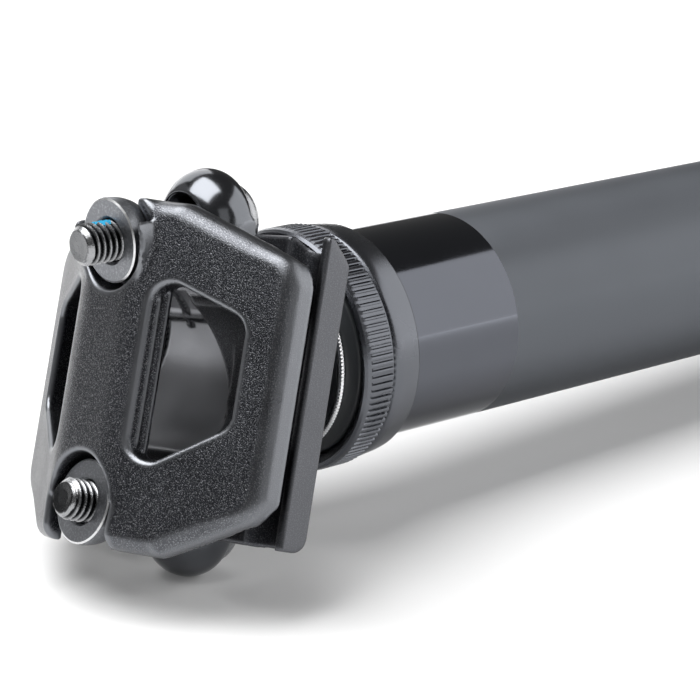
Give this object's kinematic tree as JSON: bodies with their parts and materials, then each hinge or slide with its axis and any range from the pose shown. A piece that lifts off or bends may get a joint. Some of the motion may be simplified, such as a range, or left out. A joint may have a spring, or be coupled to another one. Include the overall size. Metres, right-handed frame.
{
  "type": "dropper seatpost",
  "caption": "Telescoping bicycle seatpost: a keyed stanchion slides in a tube over a gas cartridge, with a tilting saddle rail clamp on top and a cable lever below.",
  "frame": {"origin": "on the post's axis, at the lower edge of the seal collar, where the post meets the frame's seat tube when it is fully inserted", "axes": "+Y down the post to its lever, -Y towards the saddle clamp; +Z towards the front of the bicycle, which is the upper side of the post as it lies in the picture; +X to the right of a rider"},
  "size_m": [0.054, 0.3497, 0.0574],
  "materials": {
    "anodised_tube": "black anodised, semi-gloss, with a satin band below the collar",
    "anodised_collar": "turned and knurled, black anodised",
    "anodised_stanchion": "hard anodised, polished",
    "bare_aluminium": "machined",
    "blasted_clamp": "forged, bead-blasted and black anodised",
    "machined_cradle": "forged, blasted and black anodised",
    "gloss_head": "polished gloss black",
    "nut_steel": "black-finished, tumbled",
    "bolt_steel": "black-oxide, oiled",
    "spring_steel": "bright drawn wire, bent to a ring",
    "bright_steel": "ground",
    "brass": "machined",
    "bushing": "filled acetal",
    "nitrile": "moulded black nitrile"
  },
  "bodies": {
    "lower_post": {"outer_tube": "anodised_tube", "seal_collar": "anodised_collar", "dust_wiper": "nitrile", "wiper_ring": "spring_steel", "upper_bushing": "bushing", "tube_o_ring": "nitrile", "actuator_base": "anodised_collar", "base_o_ring": "nitrile", "pivot_pin": "bright_steel", "cartridge_rod": "bright_steel", "rod_nut": "bright_steel", "bump_stop": "nitrile", "main_piston": "brass", "piston_seal": "nitrile"},
    "upper_post": {"stanchion": "anodised_stanchion", "post_head": "gloss_head", "guide_keys": "brass", "lower_bushing": "bushing", "cartridge_tube": "bare_aluminium", "cartridge_cap": "anodised_collar", "rod_guide": "bare_aluminium", "rod_seal": "nitrile", "cartridge_ring": "anodised_collar"},
    "gas_piston": {"floating_piston": "bare_aluminium", "floating_piston_seal": "nitrile"},
    "saddle_clamp": {"lower_cradle": "machined_cradle", "upper_clamp": "blasted_clamp"},
    "front_nut": {"front_nut": "nut_steel"},
    "rear_nut": {"rear_nut": "nut_steel"},
    "front_washer": {"front_washer": "bolt_steel"},
    "rear_washer": {"rear_washer": "bolt_steel"},
    "front_bolt": {"front_bolt": "bolt_steel"},
    "rear_bolt": {"rear_bolt": "bolt_steel"},
    "lever": {"lever": "bolt_steel"},
    "cable_barrel": {"cable_barrel": "bright_steel", "barrel_screw": "bolt_steel"},
    "valve_pin": {"valve_pin": "bare_aluminium"}
  },
  "joints": [
    {"name": "post_travel", "type": "slide", "parent": "lower_post", "child": "upper_post", "axis": [0, -1, 0], "range_m": [0, 0.15]},
    {"name": "gas_piston_float", "type": "slide", "parent": "upper_post", "child": "gas_piston", "axis": [0, -1, 0], "range_m": [-0.0421, 0]},
    {"name": "saddle_tilt", "type": "hinge", "parent": "upper_post", "child": "saddle_clamp", "pos_m": [0, -0.0407, 0.004], "axis": [1, 0, 0], "range_deg": [-7, 7]},
    {"name": "front_nut_rock", "type": "hinge", "parent": "saddle_clamp", "child": "front_nut", "pos_m": [0, -0.0396, 0.0207], "axis": [1, 0, 0], "range_deg": [-7.5, 7.5]},
    {"name": "rear_nut_rock", "type": "hinge", "parent": "saddle_clamp", "child": "rear_nut", "pos_m": [0, -0.04885, -0.01469], "axis": [1, 0, 0], "range_deg": [-7.5, 7.5]},
    {"name": "front_washer_rock", "type": "hinge", "parent": "upper_post", "child": "front_washer", "pos_m": [0, -0.01276, 0.0207], "axis": [1, 0, 0], "range_deg": [-0.5, 0.5]},
    {"name": "rear_washer_rock", "type": "hinge", "parent": "upper_post", "child": "rear_washer", "pos_m": [0, -0.02221, -0.02491], "axis": [1, 0, 0], "range_deg": [-0.5, 0.5]},
    {"name": "front_bolt_turn", "type": "hinge", "parent": "front_washer", "child": "front_bolt", "pos_m": [0, -0.019, 0.0207], "axis": [0, -1, 0], "continuous": true},
    {"name": "rear_bolt_turn", "type": "hinge", "parent": "rear_washer", "child": "rear_bolt", "pos_m": [0, -0.02803, -0.02268], "axis": [0, -0.9336, 0.3584], "continuous": true},
    {"name": "lever_pull", "type": "hinge", "parent": "lower_post", "child": "lever", "pos_m": [0, 0.277, -0.0042], "axis": [1, 0, 0], "range_deg": [0, 15], "stiffness_Nm_per_rad": 0.3, "springref_deg": -14.32},
    {"name": "barrel_swivel", "type": "hinge", "parent": "lever", "child": "cable_barrel", "pos_m": [0, 0.277, -0.0107], "axis": [1, 0, 0], "range_deg": [-15, 0]},
    {"name": "valve_push", "type": "slide", "parent": "lower_post", "child": "valve_pin", "axis": [0, -1, 0], "range_m": [0, 0.0012]}
  ],
  "couplings": [
    {"joint": "gas_piston_float", "follows": "post_travel", "ratio": -0.28028},
    {"joint": "front_nut_rock", "follows": "saddle_tilt", "ratio": -1.041},
    {"joint": "rear_nut_rock", "follows": "saddle_tilt", "ratio": -0.96794},
    {"joint": "front_washer_rock", "follows": "saddle_tilt", "ratio": -0.040985},
    {"joint": "rear_washer_rock", "follows": "saddle_tilt", "ratio": 0.032057},
    {"joint": "barrel_swivel", "follows": "lever_pull", "ratio": -1},
    {"joint": "valve_push", "follows": "lever_pull", "m_per_rad": 0.0042}
  ]
}
